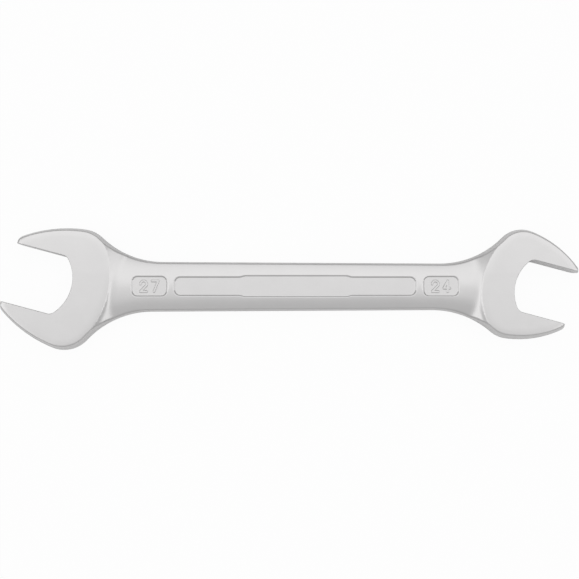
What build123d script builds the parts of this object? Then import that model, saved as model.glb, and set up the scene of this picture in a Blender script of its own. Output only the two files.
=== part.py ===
from build123d import *
import math
import os

# Double open end wrench for 27 mm and 24 mm hexagons, a single drop forging.
# It lies flat, with X along the shank, the large head at -X and +Z up.
# A head's pivot is the point where the line between its jaws crosses the shank's axis.

# Both heads
head_thickness = 10.5
wall_bulge = 1.3
face_edge_radius = 0.6
jaw_angle = 15.0
jaw_clearance = 0.2
jaw_blend_angle = 7.0
heel_slope = 27.0
heel_blend_radius = 8.0

# Large head
large_hexagon = 27.0
large_head_width = 55.8
large_tip_reach = 25.7
large_widest_setback = 4.5
large_shoulder_radius = 14.2
large_jaw_radius = 60.0
large_nose_radius = 3.8
large_heel_depth = 3.65
large_throat_setback = 4.55
large_throat_radius = 18.7
large_throat_corner = 4.0

# Small head
small_hexagon = 24.0
small_head_width = 50.4
small_tip_reach = 21.2
small_widest_setback = 5.1
small_shoulder_radius = 12.8
small_jaw_radius = 45.5
small_nose_radius = 2.7
small_heel_depth = 3.8
small_throat_setback = 5.8
small_throat_radius = 18.2
small_throat_corner = 3.8

# Shank and necks: the widths are those of the shank's edges carried on to the pivots
pivot_distance = 210.0
shank_thickness = 8.0
crown_drop = 1.95
crown_side_share = 1.2
large_end_width = 23.1
small_end_width = 20.7
neck_radius = 40.0
neck_station_angles = (0, 15, 30, 42)
shank_station_shares = (0.25, 0.5, 0.75)
shank_edge_radius = 1.0
shank_edge_bite = 0.03
edge_fade_length = 12.0
edge_fade_radius = 15.0

# Recessed panels in the crown: lengths and widths are those of the floors
panel_depth = 0.8
panel_wall_taper = 48.0
long_panel_length = 108.0
long_panel_shift = 0.2
long_panel_width = 7.7
long_panel_corner = 2.2
middle_panel_length = 46.4
middle_panel_shift = 0.5
middle_panel_width = 9.0
middle_panel_step = 1.8
numeral_panel_length = 14.8
numeral_panel_width = 8.3
numeral_panel_corner = 2.0
large_panel_setback = 39.45
small_panel_setback = 39.0

# Raised size numerals on the floors of the end panels
numeral_height = 5.8
numeral_width = 3.8
numeral_gap = 1.4
numeral_stroke = 1.0
numeral_relief = 0.35
two_bowl_start = -30.0
two_bowl_sweep = 210.0
seven_foot_share = 0.35
four_stem_share = 0.3
four_bar_share = 0.35

# Overrun of every cut past the surface it opens
overrun = 3.0

half_thickness = head_thickness / 2
half_distance = pivot_distance / 2
crown_height = shank_thickness / 2
wall_slope = wall_bulge / half_thickness
draft_angle = math.degrees(math.atan(wall_slope))
LARGE_END, SMALL_END = -1, 1
UPPER, LOWER = 1, -1
# How far the steepness of a face may be off that of the forging's walls and still be one
wall_tolerance = 0.001


def arc_about(centre, start, end):
    """Arc of less than half a turn about a centre, from start to end."""
    middle = centre + ((start + end) / 2 - centre).normalized() * (start - centre).length
    return ThreePointArc(start, middle, end)


class Head:
    """One head, drawn about its pivot with its jaws opening towards +X."""

    def __init__(self, end, hexagon, width, reach, setback, shoulder, jaw, nose, heel, throat):
        self.end = end
        self.width = width
        self.opening = hexagon + jaw_clearance
        self.reach = reach
        self.shoulder = shoulder
        self.nose = nose
        self.throat_setback, self.throat_radius, self.throat_corner = throat
        # A jaw's outer edge is a long arc that runs into the shoulder's arc
        self.shoulder_centre = Vector(-setback, width / 2 - shoulder)
        blend = math.radians(jaw_blend_angle)
        blend_direction = Vector(math.sin(blend), math.cos(blend))
        self.blend_point = self.shoulder_centre + blend_direction * shoulder
        self.jaw_centre = self.shoulder_centre - blend_direction * (jaw - shoulder)
        across = reach - self.jaw_centre.X
        self.nose_point = Vector(reach, self.jaw_centre.Y + math.sqrt(jaw**2 - across**2))
        # The heel arc is the circle round both shoulder arcs that touches them
        rise = self.shoulder_centre.Y
        run = shoulder + heel
        heel_radius = (run**2 + rise**2 - shoulder**2) / (2 * heel)
        self.heel_centre = Vector(heel_radius - run - setback, 0)
        to_shoulder = (self.shoulder_centre - self.heel_centre).normalized()
        self.heel_point = self.heel_centre + to_shoulder * heel_radius
        self.pivot = Vector(end * half_distance, 0)
        self.turn = -jaw_angle if end == SMALL_END else 180 - jaw_angle

    def place(self):
        return Location(self.pivot, self.turn)

    def in_plan(self, point, side):
        """A point of the outline's +Y half, carried to the upper or lower side of the plan."""
        flank = Vector(point.X, point.Y * side * self.end)
        return self.pivot + flank.rotate(Axis.Z, self.turn)


large = Head(
    LARGE_END, large_hexagon, large_head_width, large_tip_reach, large_widest_setback,
    large_shoulder_radius, large_jaw_radius, large_nose_radius, large_heel_depth,
    (large_throat_setback, large_throat_radius, large_throat_corner),
)
small = Head(
    SMALL_END, small_hexagon, small_head_width, small_tip_reach, small_widest_setback,
    small_shoulder_radius, small_jaw_radius, small_nose_radius, small_heel_depth,
    (small_throat_setback, small_throat_radius, small_throat_corner),
)
heads = (large, small)


class Neck:
    """The concave arc that joins a head's shoulder to the shank's edge on one side of the plan."""

    def __init__(self, head, side):
        large_edge = Vector(-half_distance, side * large_end_width / 2)
        small_edge = Vector(half_distance, side * small_end_width / 2)
        start, finish = (large_edge, small_edge) if head is large else (small_edge, large_edge)
        along = (finish - start).normalized()
        outward = along.rotate(Axis.Z, -90 * side * head.end)
        shoulder_centre = head.in_plan(head.shoulder_centre, side)
        reach = head.shoulder + neck_radius
        # The centre lies one neck radius off the shank's edge and touches the shoulder arc
        from_shoulder = start + outward * neck_radius - shoulder_centre
        advance = from_shoulder.dot(along)
        travel = math.sqrt(advance**2 - from_shoulder.length**2 + reach**2) - advance
        self.centre = start + outward * neck_radius + along * travel
        self.at_shoulder = shoulder_centre + (self.centre - shoulder_centre) * (head.shoulder / reach)
        self.at_shank = self.centre - outward * neck_radius
        # The shank's rounded edge runs up the neck to here, then curves away from the forging
        turn = math.degrees(edge_fade_length / neck_radius) * side * head.end
        self.fade_start = self.centre + (self.at_shoulder - self.centre).rotate(Axis.Z, -turn)
        fade_share = edge_fade_radius / neck_radius
        self.fade_centre = self.fade_start + (self.centre - self.fade_start) * fade_share
        self.fade_end = self.fade_centre + (self.fade_start - self.fade_centre).rotate(Axis.Z, 2 * turn)


necks = {(head, side): Neck(head, side) for head in heads for side in (UPPER, LOWER)}

# Plan outline of the forging, at the parting plane midway between the faces
with BuildSketch() as plan:
    with BuildLine():
        for head in heads:
            for side in (UPPER, LOWER):
                neck = necks[head, side]
                nose = head.in_plan(head.nose_point, side)
                blend = head.in_plan(head.blend_point, side)
                arc_about(head.in_plan(head.jaw_centre, side), nose, blend)
                arc_about(head.in_plan(head.shoulder_centre, side), blend, neck.at_shoulder)
                arc_about(neck.centre, neck.at_shoulder, neck.at_shank)
            Line(head.in_plan(head.nose_point, UPPER), head.in_plan(head.nose_point, LOWER))
        for side in (UPPER, LOWER):
            Line(necks[large, side].at_shank, necks[small, side].at_shank)
    make_face()
    for head in heads:
        for side in (UPPER, LOWER):
            corner = plan.vertices().sort_by_distance(head.in_plan(head.nose_point, side))[0]
            fillet(corner, head.nose)


def face_outline(head):
    """The head's ground face, in the head's own place: noses, jaw arcs, shoulders and heel."""
    lower_heel_point = Vector(head.heel_point.X, -head.heel_point.Y)
    with BuildSketch() as face:
        with BuildLine():
            Line((head.reach, 0), head.nose_point)
            arc_about(head.jaw_centre, head.nose_point, head.blend_point)
            arc_about(head.shoulder_centre, head.blend_point, head.heel_point)
            mirror(about=Plane.XZ)
            arc_about(head.heel_centre, head.heel_point, lower_heel_point)
        make_face()
        offset(amount=-wall_bulge, mode=Mode.REPLACE)
    return face.sketch


def crown_stations():
    """Places along X with the half width over which the crown falls by its drop."""
    shank_ends = {}
    stations = {}
    for head in heads:
        upper, lower = (necks[head, side].at_shank for side in (UPPER, LOWER))
        shank_ends[head] = Vector((upper.X + lower.X) / 2, (upper.Y - lower.Y) / 2)
        stations[head.pivot.X] = head.width / 2
        for angle in map(math.radians, neck_station_angles):
            x = shank_ends[head].X + head.end * neck_radius * math.sin(angle)
            stations[x] = shank_ends[head].Y + neck_radius * (1 - math.cos(angle))
    for share in shank_station_shares:
        between = shank_ends[large] * (1 - share) + shank_ends[small] * share
        stations[between.X] = between.Y
    return sorted(stations.items())


# Room above the crown, whose level arcs flatten as the necks spread, up to a slope at each heel
with BuildPart() as relief:
    for x, half_width in crown_stations():
        crown_radius = (half_width**2 + crown_drop**2) / (2 * crown_drop)
        side = half_width * crown_side_share
        side_height = crown_height - crown_radius + math.sqrt(crown_radius**2 - side**2)
        with BuildSketch(Plane.YZ.offset(x)):
            with BuildLine():
                ThreePointArc((-side, side_height), (0, crown_height), (side, side_height))
                Polyline(
                    (side, side_height),
                    (side, half_thickness + overrun),
                    (-side, half_thickness + overrun),
                    (-side, side_height),
                )
            make_face()
    loft()
    for head in heads:
        with BuildSketch(Plane.XY.offset(half_thickness)) as ground_face:
            with Locations(head.place()):
                add(face_outline(head))
        extrude(ground_face.sketch, amount=-half_thickness, taper=heel_slope - 90, mode=Mode.SUBTRACT)
        extrude(ground_face.sketch, amount=2 * overrun, mode=Mode.SUBTRACT)
    crown = relief.faces().filter_by(lambda f: f.normal_at().Z < 0).sort_by(SortBy.AREA)[-1]
    heel_edges = [edge for edge in crown.edges() if edge.length < half_distance]
    fillet(heel_edges, heel_blend_radius)

# The shank edge's round, drawn on the middle of the shank: X out from the plan outline, Y up
middle_half_width = (large_end_width + small_end_width) / 4
inset_share = 1 - wall_slope * (crown_height - crown_drop) / middle_half_width
edge_height = crown_height - crown_drop * inset_share**2
crown_lean = math.atan(2 * crown_drop * inset_share / middle_half_width)
wall_lean = math.pi / 2 - math.atan(wall_slope)
middle_lean = (crown_lean + wall_lean) / 2
edge_corner = Vector(-wall_slope * edge_height, edge_height)
round_setback = shank_edge_radius / math.cos(wall_lean - middle_lean) - shank_edge_bite
round_centre = edge_corner - Vector(math.sin(middle_lean), math.cos(middle_lean)) * round_setback


def on_round(lean):
    return round_centre + Vector(math.sin(lean), math.cos(lean)) * shank_edge_radius


# Cutters for the rounded edges, which follow the shank and necks and leave before the shoulders
with BuildPart() as edge_rounds:
    for side in (UPPER, LOWER):
        first, last = (large, small) if side == UPPER else (small, large)
        start, finish = necks[first, side], necks[last, side]
        with BuildLine() as route:
            arc_about(start.fade_centre, start.fade_end, start.fade_start)
            arc_about(start.centre, start.fade_start, start.at_shank)
            Line(start.at_shank, finish.at_shank)
            arc_about(finish.centre, finish.at_shank, finish.fade_start)
            arc_about(finish.fade_centre, finish.fade_start, finish.fade_end)
        heading = route.wire().tangent_at(0)
        outward = heading.rotate(Axis.Z, 90)
        with BuildSketch(Plane(start.fade_end, x_dir=outward, z_dir=heading)) as section:
            with BuildLine():
                ThreePointArc(on_round(crown_lean), on_round(middle_lean), on_round(wall_lean))
                top = edge_corner.Y + shank_edge_radius
                Polyline(
                    on_round(wall_lean),
                    (overrun, on_round(wall_lean).Y),
                    (overrun, top),
                    (on_round(crown_lean).X, top),
                    on_round(crown_lean),
                )
            make_face()
        sweep(section.sketch, path=route.wire())


def long_panel():
    """Floor of the long panel, whose middle part is a little wider than its ends."""
    left, right = long_panel_shift - long_panel_length / 2, long_panel_shift + long_panel_length / 2
    middle_left = middle_panel_shift - middle_panel_length / 2
    middle_right = middle_panel_shift + middle_panel_length / 2
    narrow, wide = long_panel_width / 2, middle_panel_width / 2
    upper_side = (
        (left, narrow),
        (middle_left - middle_panel_step, narrow),
        (middle_left, wide),
        (middle_right, wide),
        (middle_right + middle_panel_step, narrow),
        (right, narrow),
    )
    lower_side = [(x, -y) for x, y in reversed(upper_side)]
    with BuildSketch() as floor:
        with BuildLine():
            Polyline(*upper_side, *lower_side, close=True)
        make_face()
        columns = floor.vertices().group_by(Axis.X)
        fillet(columns[0] + columns[-1], long_panel_corner)
    return floor.sketch


large_panel_place = large_panel_setback - half_distance
small_panel_place = half_distance - small_panel_setback

# The half above the parting plane, with its rounded edges and the panels' recesses
with BuildPart() as upper_half:
    with BuildSketch(Plane.XY.offset(half_thickness)):
        add(plan.sketch)
        offset(amount=-wall_bulge, mode=Mode.REPLACE)
    extrude(amount=-half_thickness, taper=-draft_angle)
    add(relief.part, mode=Mode.SUBTRACT)
    add(edge_rounds.part, mode=Mode.SUBTRACT)
    ground_faces = upper_half.faces().filter_by(GeomType.PLANE).filter_by(Axis.Z).group_by(Axis.Z)[-1]
    wall_rise = math.cos(wall_lean)
    walls = upper_half.faces().filter_by(lambda f: abs(f.normal_at().Z - wall_rise) < wall_tolerance)
    wall_edges = [edge for wall in walls for edge in wall.edges()]
    rims = [edge for face in ground_faces for edge in face.edges() if any(map(edge.is_same, wall_edges))]
    fillet(rims, face_edge_radius)
    with BuildSketch(Plane.XY.offset(crown_height - panel_depth)):
        add(long_panel())
        with Locations((large_panel_place, 0), (small_panel_place, 0)):
            RectangleRounded(numeral_panel_length, numeral_panel_width, numeral_panel_corner)
    extrude(amount=panel_depth + overrun, taper=-panel_wall_taper, mode=Mode.SUBTRACT)


def jaw_opening(head):
    """The slot between the jaws, in the head's own place, with an arched floor."""
    half_opening = head.opening / 2
    floor_centre = head.throat_radius - head.throat_setback
    floor_end = floor_centre - math.sqrt(head.throat_radius**2 - half_opening**2)
    mouth = head.reach + overrun
    with BuildSketch() as slot:
        with BuildLine():
            ThreePointArc((floor_end, half_opening), (-head.throat_setback, 0), (floor_end, -half_opening))
            Polyline(
                (floor_end, -half_opening),
                (mouth, -half_opening),
                (mouth, half_opening),
                (floor_end, half_opening),
            )
        make_face()
        fillet(slot.vertices().group_by(Axis.X)[0], head.throat_corner)
    return slot.sketch


# Ends of the numerals' centre lines, from the middle of the space that each numeral fills
stroke_side = (numeral_width - numeral_stroke) / 2
stroke_top = (numeral_height - numeral_stroke) / 2


def two():
    with BuildSketch() as numeral:
        with BuildLine():
            bowl = CenterArc((0, stroke_top - stroke_side), stroke_side, two_bowl_start, two_bowl_sweep)
            Polyline(bowl @ 0, (-stroke_side, -stroke_top), (stroke_side, -stroke_top))
        trace(line_width=numeral_stroke)
    return numeral.sketch


def seven():
    foot = -stroke_side * seven_foot_share
    with BuildSketch() as numeral:
        with BuildLine():
            Polyline((-stroke_side, stroke_top), (stroke_side, stroke_top), (foot, -stroke_top))
        trace(line_width=numeral_stroke)
    return numeral.sketch


def four():
    stem, bar = stroke_side * four_stem_share, -stroke_top * four_bar_share
    with BuildSketch() as numeral:
        with BuildLine():
            Line((stem, -stroke_top), (stem, stroke_top))
        trace(line_width=numeral_stroke)
        with BuildLine():
            Polyline((stem, stroke_top), (-stroke_side, bar), (stroke_side, bar))
        trace(line_width=numeral_stroke)
    return numeral.sketch


with BuildPart() as forging:
    add(upper_half.part)
    mirror(about=Plane.XY)
    with BuildSketch():
        for head in heads:
            with Locations(head.place()):
                add(jaw_opening(head))
    extrude(amount=half_thickness + overrun, both=True, mode=Mode.SUBTRACT)
    # The back's numerals are the front's, turned about the shank's axis
    for face_up in (1, -1):
        height = face_up * (crown_height - panel_depth)
        with BuildSketch(Plane((0, 0, height), x_dir=(1, 0, 0), z_dir=(0, 0, face_up))):
            for place, numerals in ((large_panel_place, (two, seven)), (small_panel_place, (two, four))):
                with GridLocations(numeral_width + numeral_gap, 0, 2, 1) as pair:
                    spots = pair.locations
                for spot, numeral in zip(spots, numerals):
                    with Locations((place + spot.position.X, 0)):
                        add(numeral())
        extrude(amount=numeral_relief)

# The wrench's own frame: centred over the origin, resting on Z = 0
box = forging.part.bounding_box()
with BuildPart() as wrench_body:
    with Locations((-box.center().X, -box.center().Y, -box.min.Z)):
        add(forging.part)

wrench_body.part.label = "wrench_body"
os.makedirs("parts", exist_ok=True)
export_step(wrench_body.part, "parts/wrench_body.step")
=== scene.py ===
import math

import bpy
import numpy as np
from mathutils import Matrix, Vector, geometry


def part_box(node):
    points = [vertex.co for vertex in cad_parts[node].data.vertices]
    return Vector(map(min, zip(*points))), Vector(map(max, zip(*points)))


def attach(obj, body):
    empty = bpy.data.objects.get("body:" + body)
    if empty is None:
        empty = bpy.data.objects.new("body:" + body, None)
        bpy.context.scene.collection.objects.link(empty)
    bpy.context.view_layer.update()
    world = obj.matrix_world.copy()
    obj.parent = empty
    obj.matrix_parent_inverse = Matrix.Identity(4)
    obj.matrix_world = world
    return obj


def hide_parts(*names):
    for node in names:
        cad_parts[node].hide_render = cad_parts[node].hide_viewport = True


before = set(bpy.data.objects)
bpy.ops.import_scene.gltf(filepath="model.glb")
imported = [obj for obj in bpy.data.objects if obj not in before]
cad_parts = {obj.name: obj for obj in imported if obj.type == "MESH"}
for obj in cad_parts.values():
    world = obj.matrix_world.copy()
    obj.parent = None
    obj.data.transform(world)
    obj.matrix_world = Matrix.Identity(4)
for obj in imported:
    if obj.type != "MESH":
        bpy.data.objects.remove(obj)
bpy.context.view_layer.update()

bl_info = {
    "name": "Double open end wrench",
    "version": (1, 0, 0),
    "blender": (4, 5, 0),
    "location": "View3D > Sidebar > Wrench",
    "description": "Builds a satin chrome wrench for 27 mm and 24 mm hexagons and its studio",
    "category": "Add Mesh",
}

MM = 0.001
CAD_LOW, CAD_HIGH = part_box("wrench_body")
# How far the skin's box may be off the CAD's
BOX_TOLERANCE = 0.3 * MM
# The photograph is square and this many pixels wide
PHOTO_PIXELS = 579
# The photograph's middle in the wrench's plan, and the camera's film width
PHOTO_MIDDLE = (0.079 * MM, -0.658 * MM)
FILM_WIDTH = 36

# Spacing of the skin's points along the boundary's arcs and straight edges, along the rings
# beside the boundary, the panels and the heels, over the numerals and over the open faces
ARC_STEP = 0.5 * MM
EDGE_STEP = 1.0 * MM
RING_STEP = 0.6 * MM
PANEL_STEP = 0.45 * MM
NUMERAL_STEP = 0.17 * MM
OPEN_STEP = 1.0 * MM
# Depths of those rings inside the boundary, a panel's floor and a heel's arc
WALL_DEPTHS = np.array([0.05, 0.12, 0.22, 0.35, 0.6, 0.9, 1.2, 1.45]) * MM
RIM_DEPTHS = np.array([1.65, 1.85, 2.1, 2.4, 2.8, 3.4]) * MM
PANEL_DEPTHS = np.array([0.5, 0.25, 0.08, -0.05, -0.16, -0.28, -0.4, -0.55, -0.75, -1.0]) * MM
HEEL_DEPTHS = np.array([-1.0, -0.6, -0.3, 0, 0.3, 0.6, 1.0, 1.6, 2.4, 3.2, 4.2, 5.4, 6.8]) * MM
# A ring's point is left out where its true depth is further off than this share and length
RING_SLACK = 0.02
RING_ROUNDING = 1e-7
# Least distances of each group's points from those of the groups before it
LOOP_GAP = 0.001 * MM
WALL_GAP = 0.04 * MM
NUMERAL_GAP = 0.15 * MM
PANEL_GAP = 0.08 * MM
RIM_GAP = 0.15 * MM
HEEL_GAP = 0.3 * MM
OPEN_GAP = 0.55 * MM
# Least distances of the heels' rings and of the open faces' points from the boundary
HEEL_MARGIN = 1.0 * MM
OPEN_MARGIN = 0.5 * MM
# Room round a pair of numerals, past one numeral's width and half its height
NUMERAL_ROOM = np.array([1.3, 0.4]) * MM
# Points closer than this many millimetres count as one in the triangulation
TOUCHING = 1e-5
# Skin lower than this over the parting plane lies on the rim that both sides share
RIM_HEIGHT = 0.02 * MM
# Places of the points between the upper and the lower side of a jaw's inner wall
WALL_SHARES = np.array([0.12, 0.35, 0.65, 0.88])
# A face counts as ground down to this depth below its plane, and fades out over that length
GROUND_DEPTH = 0.12 * MM
GROUND_FADE = 0.1 * MM
# The height is found by this many halvings, and its slope over this step
HALVINGS = 34
SLOPE_STEP = 0.02 * MM
# An arc that falls away goes on straight from this share of its radius
ARC_LIMIT = 0.999
# Less than rounding leaves of a length or an angle
TINY = 1e-9


def linear(code):
    """An sRGB hex colour as linear RGBA."""
    channels = [int(code[i:i + 2], 16) / 255 for i in (1, 3, 5)]
    return [c / 12.92 if c <= 0.04045 else ((c + 0.055) / 1.055) ** 2.4 for c in channels] + [1.0]


def length(name, description, millimetres):
    return bpy.props.FloatProperty(
        name=name, description=description, default=millimetres * MM,
        min=0, unit="LENGTH", precision=5,
    )


def angle(name, description, degrees):
    return bpy.props.FloatProperty(
        name=name, description=description, default=math.radians(degrees), subtype="ANGLE"
    )


def factor(name, description, value):
    return bpy.props.FloatProperty(
        name=name, description=description, default=value, min=0, subtype="FACTOR"
    )


def number(name, description, value):
    return bpy.props.FloatProperty(name=name, description=description, default=value, min=0)


def colour(name, description, code):
    return bpy.props.FloatVectorProperty(
        name=name, description=description, default=linear(code),
        size=4, min=0, max=1, subtype="COLOR",
    )


class WRENCH_PG_large_head(bpy.types.PropertyGroup):
    """Sizes of the 27 mm head"""

    opening: length("Opening", "Distance between the jaws", 27.2)
    width: length("Width", "Width over both jaws at the parting plane", 55.8)
    reach: length("Reach", "Pivot to the jaws' tips", 25.7)
    setback: length("Setback", "Pivot back to the widest place", 4.5)
    shoulder: length("Shoulder", "Radius of the shoulders", 14.2)
    jaw: length("Jaw", "Radius of a jaw's outer edge", 60)
    nose: length("Nose", "Radius of a jaw's nose", 3.8)
    heel: length("Heel", "Depth of the heel's arc behind the shoulders", 3.65)
    throat: length("Throat", "Pivot back to the throat's floor", 4.55)
    throat_radius: length("Throat radius", "Radius of the throat's floor", 18.7)
    throat_corner: length("Throat corner", "Radius where the floor meets a jaw", 4)
    jaw_edge: length("Jaw edge", "Radius round the opening's edges", 0.3)


class WRENCH_PG_small_head(bpy.types.PropertyGroup):
    """Sizes of the 24 mm head"""

    opening: length("Opening", "Distance between the jaws", 24.2)
    width: length("Width", "Width over both jaws at the parting plane", 50.4)
    reach: length("Reach", "Pivot to the jaws' tips", 21.2)
    setback: length("Setback", "Pivot back to the widest place", 5.1)
    shoulder: length("Shoulder", "Radius of the shoulders", 12.8)
    jaw: length("Jaw", "Radius of a jaw's outer edge", 45.5)
    nose: length("Nose", "Radius of a jaw's nose", 2.7)
    heel: length("Heel", "Depth of the heel's arc behind the shoulders", 3.8)
    throat: length("Throat", "Pivot back to the throat's floor", 5.8)
    throat_radius: length("Throat radius", "Radius of the throat's floor", 18.2)
    throat_corner: length("Throat corner", "Radius where the floor meets a jaw", 3.8)
    jaw_edge: length("Jaw edge", "Radius round the opening's edges", 0.3)


class WRENCH_PG_forging(bpy.types.PropertyGroup):
    """Sizes of the shank, the necks and the forging's walls and edges"""

    pivots: length("Pivot distance", "Distance between the heads' pivots", 210)
    jaw_angle: angle("Jaw angle", "Turn of each head against the shank", 15)
    jaw_blend: angle("Jaw blend", "Where a jaw's outer edge leaves the shoulder", 7)
    thickness: bpy.props.FloatProperty(
        name="Head thickness", description="Distance between the heads' ground faces",
        default=CAD_HIGH.z - CAD_LOW.z, min=0, unit="LENGTH", precision=5,
    )
    bulge: length("Wall bulge", "How far the walls stand out at the parting plane", 1.3)
    crown: length("Shank thickness", "Thickness of the shank at its middle", 8)
    crown_drop: length("Crown drop", "How far the shank's crown falls to its edges", 1.95)
    crown_gain: factor("Crown gain", "How much more the crown falls as the necks widen", 0.2)
    large_width: length("Large end width", "Shank width carried on to the large pivot", 23.1)
    small_width: length("Small end width", "Shank width carried on to the small pivot", 20.7)
    neck: length("Neck radius", "Radius of the four necks", 40)
    neck_sweep: angle("Neck sweep", "How far the crown widens along a neck", 42)
    heel_slope: angle("Heel slope", "Slope from the shank up to a head", 27)
    lip: length("Lip", "Drop of the step from a ground face to its heel's front end", 0.42)
    lip_middle: factor("Lip at the middle", "Share of that drop on the shank's axis", 0.35)
    lip_least: factor("Least lip", "Share of that drop at the heel's back end", 0.02)
    lip_reach: length("Lip reach", "Length over which that step grows along the heel", 18)
    lip_slope: angle("Lip slope", "Slope of that step", 37)
    lip_round: factor("Lip round", "Rounding at that step's foot, as a share of its drop", 1 / 3)
    heel_blend: length("Heel blend", "Radius at the foot of that slope", 8)
    heel_edge: length("Heel edge", "Radius where the step meets the ground face", 0.6)
    face_edge: length("Face edge", "Radius round the ground faces", 0.6)
    roll: length("Roll-off", "Width of the soft roll-off along the ground faces' edges", 3)
    roll_slope: angle("Roll-off slope", "Slope at its outer side", 7)
    nose_roll: length("Nose roll-off", "Length before a tip over which the roll-off steepens", 6)
    nose_slope: angle("Nose slope", "Slope at its outer side at the tip", 20)
    shank_edge: length("Shank edge", "Radius along the shank's edges", 0.6)
    neck_edge: length("Neck edge", "Radius along the necks' edges", 1.0)
    edge_fade: length("Edge fade", "Length over which the shank's radius turns into the necks'", 14)
    edge_gain: length("Edge gain", "Length over which the face's radius turns into the necks'", 4)


class WRENCH_PG_panels(bpy.types.PropertyGroup):
    """Sizes of the recessed panels and the raised size numerals"""

    depth: length("Depth", "Depth of the panels below the crown", 0.8)
    wall_lean: angle("Wall lean", "Lean of the panels' walls from upright", 48)
    edge: length("Edge", "Radius along the panels' upper and lower edges", 0.25)
    long_length: length("Long panel length", "Length of the long panel's floor", 108)
    long_width: length("Long panel width", "Width of the long panel's ends", 7.7)
    long_corner: length("Long panel corner", "Radius of the long panel's corners", 2.2)
    long_shift: length("Long panel shift", "Its middle from the shank's middle", 0.2)
    middle_length: length("Middle length", "Length of the wider middle part", 46.4)
    middle_width: length("Middle width", "Width of the wider middle part", 9)
    middle_step: length("Middle step", "Length of the slanted steps", 1.8)
    middle_shift: length("Middle shift", "Its middle from the shank's middle", 0.5)
    small_length: length("Numeral panel length", "Length of a numeral panel's floor", 14.8)
    small_width: length("Numeral panel width", "Width of a numeral panel's floor", 8.3)
    small_corner: length("Numeral panel corner", "Radius of its corners", 2)
    large_setback: length("27 panel", "Large pivot to the 27 panel's middle", 39.45)
    small_setback: length("24 panel", "Small pivot to the 24 panel's middle", 39)
    numeral_height: length("Numeral height", "Height of a numeral", 5.8)
    numeral_width: length("Numeral width", "Width of a numeral", 3.8)
    numeral_gap: length("Numeral gap", "Gap between two numerals", 1.4)
    stroke: length("Stroke", "Width of a numeral's strokes", 1)
    relief: length("Relief", "Height of the numerals over their floor", 0.35)
    draft: length("Draft", "How far a numeral's walls lean", 0.3)
    two_start: angle("Start of the 2", "Where its bowl runs into the slant", -30)
    two_sweep: angle("Sweep of the 2", "How far its bowl goes round", 210)
    seven_foot: factor("Foot of the 7", "Its place, as a share of half the width", 0.35)
    four_stem: factor("Stem of the 4", "Its place, as a share of half the width", 0.3)
    four_bar: factor("Bar of the 4", "Its place, as a share of half the height", 0.35)


class WRENCH_PG_finish(bpy.types.PropertyGroup):
    """Colour and gloss of the plated steel"""

    plate: colour("Plate", "Colour of the satin chrome", "#D1D0D0")
    plate_light: colour("Lighter plate", "Colour of its lighter clouds", "#D7D6D6")
    cloud: length("Clouds", "Size of the clouds in the plate", 9)
    roughness: factor("Roughness", "Roughness of the satin plate", 0.27)
    gloss_change: factor("Gloss change", "How far the roughness varies", 0.03)
    grind_spacing: length("Grind spacing", "Distance between grind lines", 0.9)
    grind_length: length("Grind length", "Length of a grind line", 30)
    grain: length("Grain", "Size of the blasted skin's grain", 0.7)
    relief: length("Relief", "Depth of the grain and of the grind lines", 0.006)


class WRENCH_PG_stage(bpy.types.PropertyGroup):
    """Floor, light and camera"""

    floor: colour("Floor", "Colour of the paper floor", "#EAEAEA")
    floor_reach: length("Floor reach", "How far the floor reaches to each side", 4000)
    floor_glow: factor("Floor glow", "How far the floor shows as plain white to the camera", 0.95)
    floor_mirror: factor("Floor in metal", "How far it shows as plain white in the metal", 0.1)
    sky: number("Fill light", "Strength of the fill light from all round", 0.64)
    horizon: number("Horizon", "Strength of the fill light near the floor", 0.38)
    full_rise: factor("Full rise", "Rise of the view from level at which it is at full", 0.6)
    height: length("Softbox height", "Height of the softboxes over the floor", 1500)
    reach: length("Softbox reach", "How far the middle softboxes reach to each side", 720)
    side_reach: length("Side reach", "How far the side softboxes reach", 2200)
    front_edge: length("Front edge", "Reach of the front softbox in front of the wrench", 430)
    seam: length("Seam", "How far behind the wrench the main softbox takes over", 125)
    back_edge: length("Back edge", "Reach of the main softbox behind the wrench", 1500)
    side_front: length("Side front", "Reach of the side softboxes in front of the wrench", 1200)
    side_back: length("Side back", "Their reach behind it", 850)
    front: number("Front light", "Brightness of the front softbox", 0.28)
    main: number("Main light", "Brightness of the main softbox", 0.565)
    left: number("Left light", "Brightness of the left softbox", 0.63)
    right: number("Right light", "Brightness of the right softbox", 0.57)
    wall: number("Side walls", "Brightness of the upright softboxes at both sides", 0.72)
    wall_width: length("Side wall width", "Width of the upright softboxes", 640)
    camera_distance: length("Camera distance", "Camera above the ground faces", 500)
    camera_tilt: angle("Camera tilt", "Lean of the camera off straight down", 3.97)
    focal_pixels: number("Focal length", "Focal length in pixels of the photograph", 1116)


def turned(points, turn):
    c, s = math.cos(turn), math.sin(turn)
    return points @ np.array([[c, s], [-s, c]])


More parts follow.
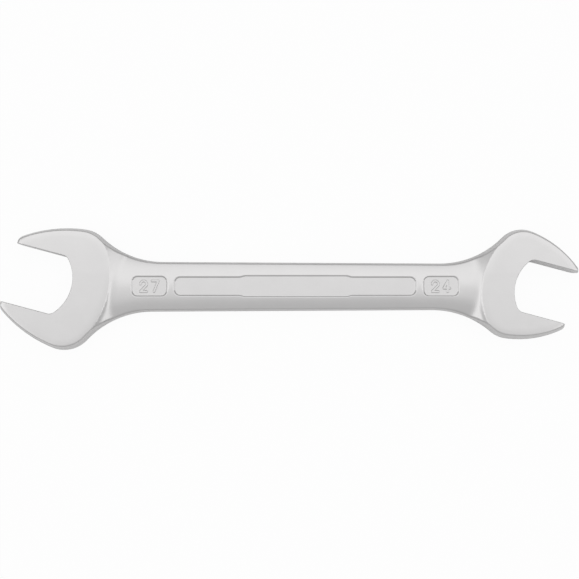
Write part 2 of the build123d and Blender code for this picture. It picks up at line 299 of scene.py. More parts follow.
class Arc:
    """An arc of a boundary, less than half a turn, from one point to another."""

    def __init__(self, centre, start, end):
        self.centre, self.start, self.end = (np.asarray(p, float) for p in (centre, start, end))
        self.radius = np.linalg.norm(self.start - self.centre)
        out = self.start - self.centre
        back = self.end - self.centre
        self.first = math.atan2(out[1], out[0])
        self.sweep = math.atan2(out[0] * back[1] - out[1] * back[0], out @ back)

    def points(self, spacing):
        count = max(1, math.ceil(abs(self.sweep) * self.radius / spacing))
        angles = self.first + self.sweep * np.arange(count) / count
        return self.centre + self.radius * np.stack([np.cos(angles), np.sin(angles)], 1)

    def depth(self, points):
        """How deep points lie inside this edge, and how far they are from it."""
        off = points - self.centre
        far = np.hypot(off[:, 0], off[:, 1])
        inside = (self.radius - far) * math.copysign(1, self.sweep)
        mid = self.first + self.sweep / 2
        along = np.abs((np.arctan2(off[:, 1], off[:, 0]) - mid + math.pi) % (2 * math.pi) - math.pi)
        ends = np.minimum(
            np.hypot(*(points - self.start).T), np.hypot(*(points - self.end).T)
        )
        return inside, np.where(along <= abs(self.sweep) / 2 + TINY, np.abs(inside), ends)


class Edge:
    """A straight part of a boundary, with the inside on its left."""

    def __init__(self, start, end):
        self.start, self.end = np.asarray(start, float), np.asarray(end, float)
        self.length = np.linalg.norm(self.end - self.start)
        self.along = (self.end - self.start) / self.length

    def points(self, spacing):
        count = max(1, math.ceil(self.length / spacing))
        return self.start + np.outer(np.arange(count) * self.length / count, self.along)

    def depth(self, points):
        off = points - self.start
        inside = self.along[0] * off[:, 1] - self.along[1] * off[:, 0]
        run = off @ self.along
        over = np.maximum(np.maximum(-run, run - self.length), 0)
        return inside, np.hypot(inside, over)


def depth_inside(boundary, points):
    """Depth of points inside a closed boundary, below nothing where they are outside it."""
    nearest = np.full(len(points), np.inf)
    depth = np.zeros(len(points))
    for part in boundary:
        inside, distance = part.depth(points)
        closer = distance < nearest
        nearest = np.where(closer, distance, nearest)
        depth = np.where(closer, np.copysign(distance, inside), depth)
    return depth


class Head:
    """A head's arcs, about its pivot and with its mouth towards +X, then carried to its place."""

    def __init__(self, sizes, forging, end):
        self.sizes, self.end = sizes, end
        self.pivot = np.array([end * forging.pivots / 2, 0.0])
        self.turn = -forging.jaw_angle if end > 0 else math.pi - forging.jaw_angle
        s = sizes
        self.shoulder_centre = np.array([-s.setback, s.width / 2 - s.shoulder])
        lean = np.array([math.sin(forging.jaw_blend), math.cos(forging.jaw_blend)])
        self.blend = self.shoulder_centre + lean * s.shoulder
        self.jaw_centre = self.shoulder_centre - lean * (s.jaw - s.shoulder)
        # The nose's arc touches the jaw's outer arc inside and the line across the tips
        nose_x = s.reach - s.nose
        rise = math.sqrt((s.jaw - s.nose) ** 2 - (nose_x - self.jaw_centre[0]) ** 2)
        self.nose_centre = np.array([nose_x, self.jaw_centre[1] + rise])
        to_nose = self.nose_centre - self.jaw_centre
        self.nose_start = self.jaw_centre + to_nose * s.jaw / np.linalg.norm(to_nose)
        self.nose_end = self.nose_centre + [s.nose, 0]
        run = s.shoulder + s.heel
        heel_radius = (run**2 + self.shoulder_centre[1] ** 2 - s.shoulder**2) / (2 * s.heel)
        self.heel_centre = np.array([heel_radius - run - s.setback, 0.0])
        to_shoulder = self.shoulder_centre - self.heel_centre
        self.heel_point = self.heel_centre + to_shoulder * heel_radius / np.linalg.norm(to_shoulder)
        self.throat_centre = np.array([s.throat_radius - s.throat, 0.0])
        half = s.opening / 2
        inner = s.throat_radius - s.throat_corner
        corner_y = half - s.throat_corner
        corner_x = self.throat_centre[0] - math.sqrt(inner**2 - corner_y**2)
        self.corner_centre = np.array([corner_x, corner_y])
        to_corner = self.corner_centre - self.throat_centre
        self.corner_start = self.throat_centre + to_corner * s.throat_radius / inner
        self.corner_end = np.array([corner_x, half])

    def place(self, point, side=1):
        """A point of the head's +Y half, or its twin in the other half, carried to the plan."""
        return self.pivot + turned(np.array([point[0], point[1] * side]), self.turn)

    def arc(self, centre, start, end, side):
        """The arc in that half, with its ends swapped in the -Y half to keep the inside left."""
        centre, start, end = (self.place(p, side) for p in (centre, start, end))
        return Arc(centre, start, end) if side > 0 else Arc(centre, end, start)

    def halves(self, centre, start, end):
        """The same arc in both halves, first the -Y one."""
        return [self.arc(centre, start, end, side) for side in (-1, 1)]


class Plan:
    """The forging's boundary in plan, about the middle between the pivots."""

    def __init__(self, scene):
        f = scene.wrench_forging
        self.heads = [Head(scene.wrench_small_head, f, 1), Head(scene.wrench_large_head, f, -1)]
        widths = {1: f.small_width, -1: f.large_width}
        self.shank_ends = {}
        necks = {}
        for head in self.heads:
            for side in (1, -1):
                # The side is the head's own: for both heads -1 comes first on the way round
                up = side * head.end
                here = np.array([head.end * f.pivots / 2, up * widths[head.end] / 2])
                there = np.array([-head.end * f.pivots / 2, up * widths[-head.end] / 2])
                along = (there - here) / np.linalg.norm(there - here)
                outward = np.array([-along[1], along[0]]) * -side
                shoulder = head.place(head.shoulder_centre, side)
                reach = head.sizes.shoulder + f.neck
                offset = here + outward * f.neck - shoulder
                advance = offset @ along
                travel = math.sqrt(advance**2 - offset @ offset + reach**2) - advance
                centre = here + outward * f.neck + along * travel
                touch = shoulder + (centre - shoulder) * head.sizes.shoulder / reach
                shank = centre - outward * f.neck
                necks[head.end, side] = (centre, touch, shank)
            upper, lower = (necks[head.end, up * head.end][2] for up in (1, -1))
            self.shank_ends[head.end] = ((upper[0] + lower[0]) / 2, (upper[1] - lower[1]) / 2)
        self.walls, self.slots, self.loop, self.face_plans = [], [], [], []
        for head in self.heads:
            s = head.sizes
            half, r = s.opening / 2, s.jaw_edge
            before, after = necks[head.end, -1], necks[head.end, 1]
            other = necks[-head.end, -1]
            shoulder_in = Arc(
                head.place(head.shoulder_centre, -1), before[1], head.place(head.blend, -1)
            )
            jaw_in, jaw_out = head.halves(head.jaw_centre, head.nose_start, head.blend)
            nose_in, nose_out = head.halves(head.nose_centre, head.nose_end, head.nose_start)
            shoulder_out = Arc(head.place(head.shoulder_centre), head.place(head.blend), after[1])
            neck_out = Arc(after[0], after[1], after[2])
            shank_edge = Edge(after[2], other[2])
            neck_in = Arc(other[0], other[2], other[1])
            tip_in = Edge(head.place(head.nose_end, -1), head.place((s.reach, half + r), -1))
            tip_out = Edge(head.place((s.reach, half + r)), head.place(head.nose_end))
            tip_corner = (s.reach - r, half + r), (s.reach, half + r), (s.reach - r, half)
            corner_in, corner_out = head.halves(tip_corner[0], tip_corner[2], tip_corner[1])
            jaw_face_in = Edge(head.place(tip_corner[2], -1), head.place(head.corner_end, -1))
            jaw_face_out = Edge(head.place(head.corner_end), head.place(tip_corner[2]))
            bend_in, bend_out = head.halves(head.corner_centre, head.corner_start, head.corner_end)
            floor = Arc(
                head.place(head.throat_centre),
                head.place(head.corner_start, -1),
                head.place(head.corner_start),
            )
            across = Edge(head.place(head.nose_end, -1), head.place(head.nose_end))
            front = [jaw_in, nose_in, across, nose_out, jaw_out]
            self.walls += [shoulder_in, *front, shoulder_out, neck_out, shank_edge, neck_in]
            faces = [bend_in, floor, bend_out]
            # The slot's sides run on well past the tips
            mouth = 2 * s.reach
            open_in = Edge(head.place((mouth, half), -1), head.place(head.corner_end, -1))
            open_out = Edge(head.place(head.corner_end), head.place((mouth, half)))
            self.slots.append([open_in, *faces, open_out])
            outer = [shoulder_in, jaw_in, nose_in, tip_in, corner_in]
            inner = [jaw_face_in, *faces, jaw_face_out]
            back = [corner_out, tip_out, nose_out, jaw_out, shoulder_out]
            self.loop += [*outer, *inner, *back, neck_out, shank_edge, neck_in]
            heel_point = head.place(head.heel_point)
            heel = Arc(head.place(head.heel_centre), heel_point, head.place(head.heel_point, -1))
            lower, upper = head.halves(head.shoulder_centre, head.blend, head.heel_point)
            self.face_plans.append([heel, lower, *front, upper])


class Surface:
    """The upper or the lower side of the forging, as a height over the parting plane."""

    def __init__(self, scene, plan, face):
        self.plan, self.face = plan, face
        self.forging, self.panels = scene.wrench_forging, scene.wrench_panels
        self.heads, self.face_plans = plan.heads, plan.face_plans
        p = self.panels
        half = self.forging.pivots / 2
        self.large_panel = p.large_setback - half
        self.small_panel = half - p.small_setback
        self.panel_plans = [
            long_panel(p),
            rounded_rectangle(self.large_panel, p.small_length, p.small_width, p.small_corner),
            rounded_rectangle(self.small_panel, p.small_length, p.small_width, p.small_corner),
        ]

    def half_width(self, x):
        """Half widths of the shank and of the crown, which widens with the necks to the pivots."""
        f = self.forging
        (small_x, small_w), (large_x, large_w) = self.plan.shank_ends[1], self.plan.shank_ends[-1]
        share = (x - large_x) / (small_x - large_x)
        shank = large_w + (small_w - large_w) * np.clip(share, 0, 1)
        width = shank
        for head, end_x in zip(self.heads, (small_x, large_x)):
            past = np.maximum((x - end_x) * head.end, 0)
            limit = f.neck * math.sin(f.neck_sweep)
            width = width + f.neck - np.sqrt(f.neck**2 - np.minimum(past, limit) ** 2)
            at_limit = self.plan.shank_ends[head.end][1] + f.neck * (1 - math.cos(f.neck_sweep))
            run = abs(head.pivot[0] - end_x) - limit
            width = width + np.maximum(past - limit, 0) * (head.sizes.width / 2 - at_limit) / run
        return shank, width

    def fields(self, points):
        """What the height depends on at each place in plan."""
        f, p = self.forging, self.panels
        x, y = points.T
        wall = depth_inside(self.plan.walls, points)
        slot = np.minimum(*(depth_inside(s, points) for s in self.plan.slots))
        shank, half = self.half_width(x)
        crown = f.crown / 2
        fall = f.crown_drop + np.maximum(half - shank, 0) * f.crown_gain
        height = crown - arc_fall(y, (half**2 + fall**2) / (2 * fall))
        off_face = np.full(len(points), np.inf)
        for head, plan in zip(self.heads, self.face_plans):
            past = f.bulge - depth_inside(plan, points)
            off_face = np.minimum(off_face, past)
            along = turned(points - head.pivot, -head.turn)[:, 0]
            at_nose = eased(1 + (along - head.sizes.reach) / f.nose_roll)
            slope = np.tan(f.roll_slope + at_nose * (f.nose_slope - f.roll_slope))
            gone = smooth_above(past, 0, f.heel_edge * math.tan(f.heel_slope) / 2)
            rolled = np.clip(1 + past / f.roll, 0, 1) ** 2 * f.roll * slope / 2
            lip = f.lip * np.clip(f.lip_middle - y * self.face / f.lip_reach, f.lip_least, 1)
            steeper = gone * (math.tan(f.lip_slope) - math.tan(f.heel_slope))
            step = -smooth_above(-steeper, -lip, f.lip * f.lip_round)
            heel = f.thickness / 2 - rolled - step - gone * math.tan(f.heel_slope)
            height = smooth_above(height, heel, f.heel_blend * math.tan(f.heel_slope) ** 2 / 2)
        floor = crown - p.depth
        for plan in self.panel_plans:
            rise = np.maximum(-depth_inside(plan, points), 0) / math.tan(p.wall_lean)
            height = -smooth_above(-height, -floor - smooth_above(rise, 0, p.edge / 2), p.edge)
        for place, marks in ((self.large_panel, (two, seven)), (self.small_panel, (two, four))):
            for side, mark in zip((-1, 1), marks):
                spot = place + side * (p.numeral_width + p.numeral_gap) / 2
                away = mark(np.stack([x - spot, y * self.face], 1), p)
                share = eased((p.stroke / 2 + p.draft / 2 - away) / p.draft)
                height = np.where(share > 0, np.maximum(height, floor + p.relief * share), height)
        along = np.abs(x)
        ends = [abs(e[0]) for e in self.plan.shank_ends.values()]
        necked = eased((along - np.mean(ends)) / f.edge_fade)
        edge = f.shank_edge + (f.neck_edge - f.shank_edge) * necked
        edge = f.face_edge + (edge - f.face_edge) * eased(off_face / f.edge_gain)
        slot_edge = np.where(x > 0, *(head.sizes.jaw_edge for head in self.heads))
        return wall, slot, height, edge, slot_edge

    def depth(self, fields, z):
        """Depth below the skin, at heights z over the places that the fields were found at."""
        wall, slot, height, edge, slot_edge = fields
        lean = self.forging.bulge / (self.forging.thickness / 2)
        side = (wall - lean * z) / math.sqrt(1 + lean**2)
        return rounded(rounded(side, height - z, edge), slot, slot_edge)

    def solve(self, fields):
        """The skin's height, by halving the interval that holds it."""
        low = np.zeros(len(fields[0]))
        high = np.full(len(low), self.forging.thickness / 2 + MM)
        for _ in range(HALVINGS):
            middle = (low + high) / 2
            inside = self.depth(fields, middle) > -TINY
            low, high = np.where(inside, middle, low), np.where(inside, high, middle)
        return low

    def normals(self, points, z):
        """Outward directions of the skin, from the depth's slope."""
        step = SLOPE_STEP
        slopes = []
        for shift in (np.array([step, 0]), np.array([0, step])):
            ahead = self.depth(self.fields(points + shift), z)
            behind = self.depth(self.fields(points - shift), z)
            slopes.append(behind - ahead)
        here = self.fields(points)
        slopes.append(self.depth(here, z - step) - self.depth(here, z + step))
        normal = np.stack(slopes, 1)
        return unit(normal)


def unit(directions):
    """Directions at length 1."""
    return directions / np.maximum(np.linalg.norm(directions, axis=1, keepdims=True), TINY)


def eased(share):
    """A share held between 0 and 1, leaving and reaching them gently."""
    share = np.clip(share, 0, 1)
    return share * share * (3 - 2 * share)


def smooth_above(a, b, width):
    """The higher of two heights, eased over where they come within a width of each other."""
    near = np.maximum(width - np.abs(a - b), 0)
    return np.maximum(a, b) + near * near / (4 * width)


def arc_fall(y, radius):
    """How far an arc falls at y from its top, going on straight close to its quarter."""
    on_arc = np.minimum(np.abs(y), radius * ARC_LIMIT)
    level = np.sqrt(radius**2 - on_arc**2)
    return radius - level + (np.abs(y) - on_arc) * on_arc / level


def rounded(a, b, radius):
    """Depth inside two things at once, with their common edge rounded."""
    corner = np.hypot(np.maximum(radius - a, 0), np.maximum(radius - b, 0))
    return np.maximum(radius, np.minimum(a, b)) - corner


def rounded_rectangle(middle, long, wide, radius):
    """Anticlockwise boundary of a panel's floor."""
    boundary = []
    x, y = long / 2 - radius, wide / 2 - radius
    corners = [(middle + x, -y), (middle + x, y), (middle - x, y), (middle - x, -y)]
    for i, corner in enumerate(corners):
        corner = np.array(corner)
        first = turned(np.array([0.0, -radius]), i * math.pi / 2)
        last = turned(np.array([radius, 0.0]), i * math.pi / 2)
        following = np.array(corners[(i + 1) % 4]) + last
        boundary += [Arc(corner, corner + first, corner + last), Edge(corner + last, following)]
    return boundary


def long_panel(p):
    """Anticlockwise boundary of the long panel's floor, wider in the middle."""
    left, right = p.long_shift - p.long_length / 2, p.long_shift + p.long_length / 2
    middle_left = p.middle_shift - p.middle_length / 2
    middle_right = p.middle_shift + p.middle_length / 2
    narrow, wide, r = p.long_width / 2, p.middle_width / 2, p.long_corner
    upper = [(right, narrow - r), (right - r, narrow), (middle_right + p.middle_step, narrow)]
    upper += [(middle_right, wide), (middle_left, wide), (middle_left - p.middle_step, narrow)]
    upper += [(left + r, narrow), (left, narrow - r)]
    ring = [np.array(v) for v in upper] + [np.array((x, -y)) for x, y in reversed(upper)]
    boundary = []
    # The ring starts at the right end, and these are the numbers of its rounded corners
    for i, (here, following) in enumerate(zip(ring, ring[1:] + ring[:1])):
        if i in (0, 6, 8, 14):
            centre = (here[0], following[1]) if i in (6, 14) else (following[0], here[1])
            boundary.append(Arc(centre, here, following))
        else:
            boundary.append(Edge(here, following))
    return boundary


def away_from_line(points, start, end):
    start, end = np.array(start), np.array(end)
    along = end - start
    share = np.clip((points - start) @ along / (along @ along), 0, 1)
    return np.hypot(*(points - start - share[:, None] * along).T)


def numeral_reach(p):
    return (p.numeral_width - p.stroke) / 2, (p.numeral_height - p.stroke) / 2


def two(points, p):
    """Distance from the middle line of a 2."""
    side, top = numeral_reach(p)
    centre = np.array([0.0, top - side])
    off = points - centre
    start, sweep = p.two_start, p.two_sweep
    middle = start + sweep / 2
    turn = np.abs((np.arctan2(off[:, 1], off[:, 0]) - middle + math.pi) % (2 * math.pi) - math.pi)
    low = centre + side * np.array([math.cos(start), math.sin(start)])
    high = centre + np.array([-side, 0])
    bowl = np.where(
        turn < sweep / 2,
        np.abs(np.hypot(*off.T) - side),
        np.minimum(np.hypot(*(points - low).T), np.hypot(*(points - high).T)),
    )
    slant = away_from_line(points, low, (-side, -top))
    foot = away_from_line(points, (-side, -top), (side, -top))
    return np.minimum(np.minimum(bowl, slant), foot)


def seven(points, p):
    """Distance from the middle line of a 7."""
    side, top = numeral_reach(p)
    bar = away_from_line(points, (-side, top), (side, top))
    return np.minimum(bar, away_from_line(points, (side, top), (-side * p.seven_foot, -top)))


def four(points, p):
    """Distance from the middle line of a 4."""
    side, top = numeral_reach(p)
    stem, bar = side * p.four_stem, -top * p.four_bar
    upright = away_from_line(points, (stem, -top), (stem, top))
    slant = away_from_line(points, (stem, top), (-side, bar))
    return np.minimum(np.minimum(upright, slant), away_from_line(points, (-side, bar), (side, bar)))


def rings(boundary, depths, spacing):
    """Points along a boundary at set depths inside it, left out where it bends too hard."""
    found = []
    for part in boundary:
        points = part.points(spacing)
        if isinstance(part, Arc):
            inward = (part.centre - points) / part.radius * math.copysign(1, part.sweep)
        else:
            inward = np.tile([-part.along[1], part.along[0]], (len(points), 1))
        for depth in depths:
            found.append((points + inward * depth, depth))
    kept = []
    for points, depth in found:
        true = depth_inside(boundary, points)
        kept.append(points[np.abs(true - depth) < RING_SLACK * abs(depth) + RING_ROUNDING])
    return np.concatenate(kept)


def lattice(low, high, spacing):
    """Points of a triangular lattice over a rectangle."""
    row = spacing * math.sqrt(3) / 2
    rows = np.arange(low[1], high[1], row)
    columns = np.arange(low[0], high[0], spacing)
    x, y = np.meshgrid(columns, rows)
    x = x + (np.arange(len(rows)) % 2)[:, None] * spacing / 2
    return np.stack([x.ravel(), y.ravel()], 1)


def thinned(groups):
    """Points of all groups, each kept only where no earlier one lies within its group's gap."""
    kept = np.empty((0, 2))
    for points, gap in groups:
        taken = {}
        for x, y in kept:
            taken.setdefault((math.floor(x / gap), math.floor(y / gap)), []).append((x, y))
        fresh = []
        for x, y in points:
            i, j = math.floor(x / gap), math.floor(y / gap)
            cells = ((a, b) for a in (i - 1, i, i + 1) for b in (j - 1, j, j + 1))
            near = (q for cell in cells for q in taken.get(cell, ()))
            if all((x - q[0]) ** 2 + (y - q[1]) ** 2 >= gap * gap for q in near):
                taken.setdefault((i, j), []).append((x, y))
                fresh.append((x, y))
        if fresh:
            kept = np.concatenate([kept, fresh])
    return kept


def net(scene, plan, surface):
    """Points in plan for the skin, closer where it bends, and the triangles between them."""
    f, p = scene.wrench_forging, scene.wrench_panels
    boundary = plan.loop
    loop = np.concatenate([
        part.points(ARC_STEP if isinstance(part, Arc) else EDGE_STEP) for part in boundary
    ])
    panel_rings = [rings(panel, PANEL_DEPTHS, PANEL_STEP) for panel in surface.panel_plans]
    heel_rings = []
    for face in plan.face_plans:
        points = rings([face[0]], f.bulge - HEEL_DEPTHS, RING_STEP)
        heel_rings.append(points[depth_inside(plan.walls, points) > HEEL_MARGIN])
    numerals = []
    for place in (surface.large_panel, surface.small_panel):
        middle = np.array([place, 0])
        reach = np.array([p.numeral_width, p.numeral_height / 2]) + NUMERAL_ROOM
        numerals.append(lattice(middle - reach, middle + reach, NUMERAL_STEP))
    coarse = lattice(loop.min(0), loop.max(0), OPEN_STEP)
    coarse = coarse[depth_inside(boundary, coarse) > OPEN_MARGIN]
    points = thinned([
        (loop, LOOP_GAP),
        (rings(boundary, WALL_DEPTHS, RING_STEP), WALL_GAP),
        (np.concatenate(numerals), NUMERAL_GAP),
        (np.concatenate(panel_rings), PANEL_GAP),
        (rings(boundary, RIM_DEPTHS, RING_STEP), RIM_GAP),
        (np.concatenate(heel_rings), HEEL_GAP),
        (coarse, OPEN_GAP),
    ])
    count = len(loop)
    in_mm = [tuple(v) for v in points / MM]
    outcome = geometry.delaunay_2d_cdt(in_mm, [], [list(range(count))], 1, TOUCHING)
    plan_points = np.array([tuple(v) for v in outcome[0]]) * MM
    # The triangulation rounds its points, and the boundary's own must lie on it
    plan_points[:count] = loop
    return plan_points, np.array(outcome[2]), count


def skin_mesh(scene):
    """The whole forging as one mesh, with the directions of its skin."""
    f = scene.wrench_forging
    plan = Plan(scene)
    top = Surface(scene, plan, 1)
    points, triangles, count = net(scene, plan, top)
    heights, normals = [], []
    for surface in (top, Surface(scene, plan, -1)):
        z = surface.solve(surface.fields(points))
        normal = surface.normals(points, z)
        rim = np.flatnonzero(z[:count] < RIM_HEIGHT)
        z[rim] = 0
        normal[rim, 2] = 0
        heights.append(z)
        normals.append(unit(normal))
    # The lower side's points are numbered after the upper side's, but for the shared rim
    total = len(points)
    below = np.arange(total) + total
    below[rim] = rim
    coordinates = [np.column_stack([points, heights[0]]), np.column_stack([points, -heights[1]])]
    directions = [normals[0], normals[1] * [1, 1, -1]]
    faces = [tuple(t) for t in triangles] + [tuple(below[t[::-1]]) for t in triangles]
    # The jaws' inner walls stand upright between the two sides
    columns = []
    walls = np.flatnonzero(heights[0][:count] > RIM_HEIGHT)
    level = top.normals(points[walls], np.zeros(len(walls)))
    level[:, 2] = 0
    level = unit(level)
    start = 2 * total
    extra, across = [], []
    place_of = {v: i for i, v in enumerate(walls)}
    for i in range(count):
        if i in place_of:
            high, low = heights[0][i], -heights[1][i]
            for t in WALL_SHARES:
                extra.append((*points[i], high + (low - high) * t))
                across.append(level[place_of[i]])
            columns.append([i, *range(start, start + len(WALL_SHARES)), below[i]])
            start += len(WALL_SHARES)
        else:
            columns.append([i] * (len(WALL_SHARES) + 2))
    for here, following in zip(columns, columns[1:] + columns[:1]):
        for j in range(len(WALL_SHARES) + 1):
            corners = (here[j + 1], following[j + 1], following[j], here[j])
            corners = tuple(dict.fromkeys(corners))
            if len(corners) > 2:
                faces.append(corners)
    coordinates = np.concatenate([*coordinates, np.array(extra)])
    directions = np.concatenate([*directions, np.array(across)])
    used = np.unique(np.concatenate([np.array(face) for face in faces]))
    renumbered = np.zeros(len(coordinates), int)
    renumbered[used] = np.arange(len(used))
    coordinates, directions = coordinates[used], directions[used]
    middle = (coordinates.min(0) + coordinates.max(0)) / 2
    coordinates = coordinates - middle + [0, 0, f.thickness / 2]
    mesh = bpy.data.meshes.new("wrench_skin")
    faces = [tuple(int(renumbered[v]) for v in face) for face in faces]
    mesh.from_pydata(coordinates.tolist(), [], faces)
    mesh.validate()
    mesh.shade_smooth()
    mesh.normals_split_custom_set_from_vertices(directions.tolist())
    off_plane = np.minimum(coordinates[:, 2], f.thickness - coordinates[:, 2])
    ground = mesh.attributes.new("ground", "FLOAT", "POINT")
    share = np.clip((GROUND_DEPTH - off_plane) / GROUND_FADE, 0, 1)
    ground.data.foreach_set("value", share.astype(np.float32))
    return mesh


def add_node(tree, kind, settings, links):
    """One node with its settings, its sockets' values and its links."""
    node = tree.nodes.new(kind)
    for name, value in settings.items():
        if isinstance(name, str) and hasattr(node, name):
            setattr(node, name, value)
        else:
            node.inputs[name].default_value = value
    for name, socket in links.items():
        tree.links.new(socket, node.inputs[name])
    return node


def empty_material(name):
    material = bpy.data.materials.new(name)
    material.use_nodes = True
    material.node_tree.nodes.clear()
    return material


def satin_chrome(finish):
    """Satin chrome plate on a forging, blasted all over and ground on the heads' faces."""
    material = empty_material("satin_chrome_plate")
    tree = material.node_tree
    place = add_node(tree, "ShaderNodeTexCoord", {}, {}).outputs["Object"]
    ground = add_node(tree, "ShaderNodeAttribute", {"attribute_name": "ground"}, {}).outputs["Fac"]

    # Broad clouds in the plate, a level or two apart, as the eye sees on blasted steel
    clouds = add_node(
        tree, "ShaderNodeTexNoise",
        {"Scale": 1 / finish.cloud, "Detail": 3.0, "Roughness": 0.6}, {"Vector": place},
    ).outputs["Fac"]
    tint = add_node(
        tree, "ShaderNodeMix",
        {"data_type": "RGBA", 6: finish.plate, 7: finish.plate_light}, {0: clouds},
    ).outputs[2]

    # The blasted skin's grain; a real one is finer, but would vanish at the photograph's distance
    grain = add_node(
        tree, "ShaderNodeTexNoise", {"Scale": 1 / finish.grain, "Detail": 2.0}, {"Vector": place}
    ).outputs["Fac"]
    # Fine lines along the wrench from grinding the faces; real ones lie about 0.1 mm apart
    stretched = add_node(
        tree, "ShaderNodeMapping",
        {"Scale": (1 / finish.grind_length, 1 / finish.grind_spacing, 1)}, {"Vector": place},
    ).outputs["Vector"]
    lines = add_node(
        tree, "ShaderNodeTexNoise", {"Scale": 1.0, "Detail": 2.0}, {"Vector": stretched}
    ).outputs["Fac"]
    relief = add_node(
        tree, "ShaderNodeMix", {"data_type": "FLOAT"}, {0: ground, 2: grain, 3: lines}
    ).outputs[0]
    skin = add_node(
        tree, "ShaderNodeBump", {"Strength": 1.0, "Distance": finish.relief}, {"Height": relief}
    ).outputs["Normal"]

    # The satin gloss varies a little with the clouds
    gloss = add_node(
        tree, "ShaderNodeMath",
        {"operation": "MULTIPLY_ADD", 1: finish.gloss_change, 2: finish.roughness}, {0: clouds},
    ).outputs[0]
    plate = add_node(
        tree, "ShaderNodeBsdfPrincipled", {"Metallic": 1.0},
        {"Base Color": tint, "Roughness": gloss, "Normal": skin},
    )
    add_node(tree, "ShaderNodeOutputMaterial", {}, {"Surface": plate.outputs["BSDF"]})
    return material


class WRENCH_OT_forging(bpy.types.Operator):
    """Build the forged wrench with its panels and size numerals"""

    bl_idname = "wrench.forging"
    bl_label = "Forging"

    def execute(self, context):
        scene = context.scene
        skin = bpy.data.objects.new("wrench_skin", skin_mesh(scene))
        scene.collection.objects.link(skin)
        skin.data.materials.append(satin_chrome(scene.wrench_finish))
        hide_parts("wrench_body")
        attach(skin, "root")
        context.view_layer.update()
        corners = [skin.matrix_world @ v.co for v in skin.data.vertices]
        low = [min(c[i] for c in corners) for i in range(3)]
        high = [max(c[i] for c in corners) for i in range(3)]
        if max(abs(a - b) for a, b in zip(low + high, [*CAD_LOW, *CAD_HIGH])) > BOX_TOLERANCE:
            raise RuntimeError("The skin's box differs from the CAD's")
        return {"FINISHED"}


def paper_floor(stage):
    """Matt white paper sweep: it takes soft shadows, and its own white shows in the metal."""
    material = empty_material("matt_paper")
    tree = material.node_tree
    path = add_node(tree, "ShaderNodeLightPath", {}, {}).outputs
    white = add_node(tree, "ShaderNodeEmission", {"Color": (1, 1, 1, 1), "Strength": 1.0}, {})
    paper = add_node(tree, "ShaderNodeBsdfDiffuse", {"Color": stage.floor}, {})
    mirrored = add_node(
        tree, "ShaderNodeMath", {"operation": "MAXIMUM"},
        {0: path["Is Glossy Ray"], 1: path["Is Transmission Ray"]},
    )
    mirrored = add_node(
        tree, "ShaderNodeMath", {"operation": "MULTIPLY", 1: stage.floor_mirror},
        {0: mirrored.outputs[0]},
    )
    share = add_node(
        tree, "ShaderNodeMath", {"operation": "MULTIPLY_ADD", 1: stage.floor_glow},
        {0: path["Is Camera Ray"], 2: mirrored.outputs[0]},
    )
    mixed = add_node(
        tree, "ShaderNodeMixShader", {},
        {0: share.outputs[0], 1: paper.outputs[0], 2: white.outputs[0]},
    )
    add_node(tree, "ShaderNodeOutputMaterial", {}, {"Surface": mixed.outputs[0]})
    return material


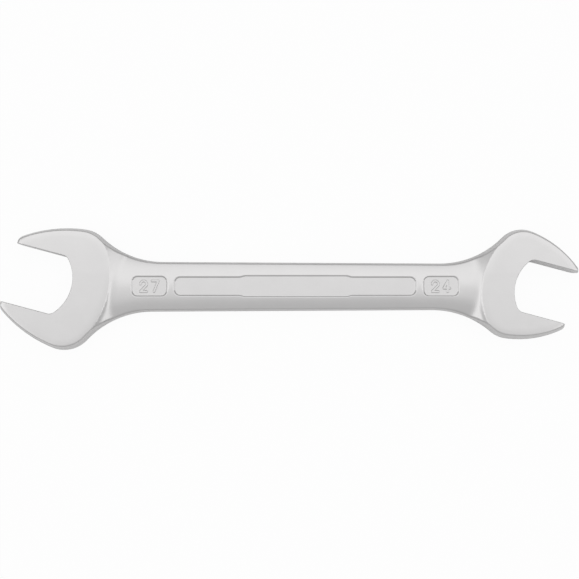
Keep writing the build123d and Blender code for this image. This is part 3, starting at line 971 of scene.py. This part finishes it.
class WRENCH_OT_stage(bpy.types.Operator):
    """Build the paper floor, the softboxes, the fill light and the camera"""

    bl_idname = "wrench.stage"
    bl_label = "Stage"

    def softbox(self, scene, name, middle, size, brightness, lean=0.0):
        """A rectangular soft lamp, level or leaning about Y, whose brightness of 1 is white."""
        lamp = bpy.data.lights.new(name, "AREA")
        lamp.shape = "RECTANGLE"
        lamp.size, lamp.size_y = size
        lamp.energy = brightness * math.pi * lamp.size * lamp.size_y
        piece = bpy.data.objects.new(name, lamp)
        scene.collection.objects.link(piece)
        piece.location = middle
        piece.rotation_euler = (0, lean, 0)

    def execute(self, context):
        scene = context.scene
        stage = scene.wrench_stage
        side = stage.floor_reach
        corners = [(-side, -side, 0), (side, -side, 0), (side, side, 0), (-side, side, 0)]
        mesh = bpy.data.meshes.new("paper_floor")
        mesh.from_pydata(corners, [], [(0, 1, 2, 3)])
        floor = bpy.data.objects.new("paper_floor", mesh)
        scene.collection.objects.link(floor)
        mesh.materials.append(paper_floor(stage))

        world = bpy.data.worlds.new("studio")
        scene.world = world
        world.use_nodes = True
        world.node_tree.nodes.clear()
        studio = world.node_tree
        way = add_node(studio, "ShaderNodeTexCoord", {}, {}).outputs["Generated"]
        rise = add_node(studio, "ShaderNodeSeparateXYZ", {}, {0: way}).outputs["Z"]
        glow = add_node(
            studio, "ShaderNodeMapRange",
            {"From Max": stage.full_rise, "To Min": stage.horizon, "To Max": stage.sky},
            {"Value": rise},
        ).outputs["Result"]
        sky = add_node(studio, "ShaderNodeBackground", {"Color": (1, 1, 1, 1)}, {"Strength": glow})
        add_node(studio, "ShaderNodeOutputWorld", {}, {"Surface": sky.outputs[0]})

        far, near = stage.side_reach, stage.reach
        overhead = (
            ("front_softbox", (-near, near), (-stage.front_edge, stage.seam), stage.front),
            ("main_softbox", (-near, near), (stage.seam, stage.back_edge), stage.main),
            ("left_softbox", (-far, -near), (-stage.side_front, stage.side_back), stage.left),
            ("right_softbox", (near, far), (-stage.side_front, stage.side_back), stage.right),
        )
        for name, (left, right), (front, back), brightness in overhead:
            middle = ((left + right) / 2, (front + back) / 2, stage.height)
            self.softbox(scene, name, middle, (right - left, back - front), brightness)
        # Upright ones at both ends of the wrench, which show in the panels' end walls
        for name, end in (("left_wall", -1), ("right_wall", 1)):
            middle = (end * far, 0, stage.height / 2)
            size = (stage.height, stage.wall_width)
            self.softbox(scene, name, middle, size, stage.wall, end * math.pi / 2)

        lens = bpy.data.cameras.new("camera")
        lens.sensor_width = FILM_WIDTH
        lens.lens = stage.focal_pixels / PHOTO_PIXELS * FILM_WIDTH
        camera = bpy.data.objects.new("camera", lens)
        scene.collection.objects.link(camera)
        x, y = PHOTO_MIDDLE
        back = stage.camera_distance * math.tan(stage.camera_tilt)
        height = stage.camera_distance + scene.wrench_forging.thickness
        camera.location = (x, y - back, height)
        camera.rotation_euler = (stage.camera_tilt, 0, 0)
        scene.camera = camera
        scene.view_settings.view_transform = "Standard"
        return {"FINISHED"}


class WRENCH_PT_panel(bpy.types.Panel):
    """The wrench's pieces, each with its sizes"""

    bl_idname = "WRENCH_PT_panel"
    bl_label = "Wrench"
    bl_space_type = "VIEW_3D"
    bl_region_type = "UI"
    bl_category = "Wrench"

    def draw(self, context):
        for operator in OPERATORS:
            self.layout.operator(operator.bl_idname)
        for name, group in GROUPS.items():
            box = self.layout.box()
            box.label(text=group.__doc__)
            for size in group.__annotations__:
                box.prop(getattr(context.scene, name), size)


GROUPS = {
    "wrench_large_head": WRENCH_PG_large_head,
    "wrench_small_head": WRENCH_PG_small_head,
    "wrench_forging": WRENCH_PG_forging,
    "wrench_panels": WRENCH_PG_panels,
    "wrench_finish": WRENCH_PG_finish,
    "wrench_stage": WRENCH_PG_stage,
}
OPERATORS = (WRENCH_OT_forging, WRENCH_OT_stage)


def register():
    for cls in (*GROUPS.values(), *OPERATORS, WRENCH_PT_panel):
        bpy.utils.register_class(cls)
    for name, group in GROUPS.items():
        setattr(bpy.types.Scene, name, bpy.props.PointerProperty(type=group))


def unregister():
    for name in GROUPS:
        delattr(bpy.types.Scene, name)
    for cls in (WRENCH_PT_panel, *reversed(OPERATORS), *reversed(GROUPS.values())):
        bpy.utils.unregister_class(cls)


def main():
    register()
    bpy.ops.wrench.forging()
    bpy.ops.wrench.stage()
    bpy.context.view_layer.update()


if __name__ == "__main__":
    main()
